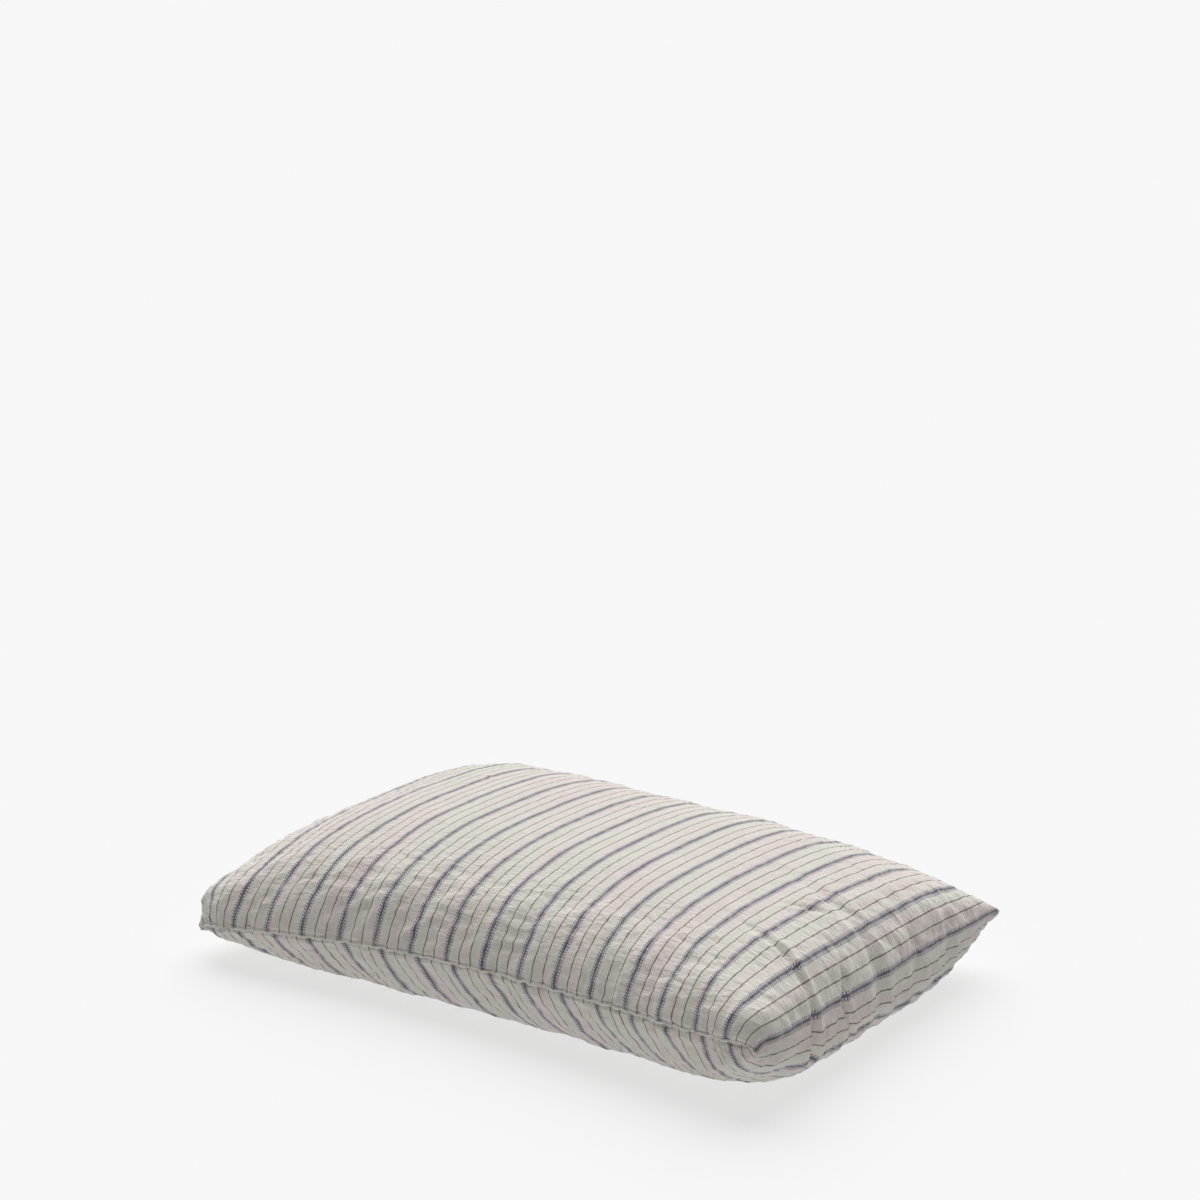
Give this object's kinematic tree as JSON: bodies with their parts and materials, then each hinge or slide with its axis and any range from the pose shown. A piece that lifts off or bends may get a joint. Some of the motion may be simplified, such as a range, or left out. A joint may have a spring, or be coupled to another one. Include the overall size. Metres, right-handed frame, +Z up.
{
  "type": "bed pillow",
  "caption": "Soft filled sleeping pillow in a striped crinkled linen case with a tucked-in flap, lying flat.",
  "frame": {"origin": "on the table plane, under the middle of the pillow's outline", "axes": "+Z up, +X along the long side towards the case's closed folded end, the mouth of the case at -X"},
  "size_m": [0.668, 0.46, 0.1538],
  "materials": {
    "linen": "washed, crinkled, woven stripe",
    "thread": "matt spun thread",
    "label_tape": "smooth woven tape, blank",
    "ticking": "dense smooth cotton",
    "filling": "loose fibre"
  },
  "bodies": {
    "root": {"case_cloth": "linen", "case_mouth_hem": "linen", "case_inner_flap": "linen", "case_flap_hem": "linen", "case_front_seam": "linen", "case_back_seam": "linen", "case_front_seam_thread": "thread", "case_back_seam_thread": "thread", "case_mouth_hem_thread": "thread", "case_flap_hem_thread": "thread", "case_care_label": "label_tape", "ticking_top_panel": "ticking", "ticking_bottom_panel": "ticking", "ticking_piping": "ticking", "ticking_closing_thread": "thread", "ticking_label": "label_tape", "filling": "filling"}
  },
  "joints": []
}
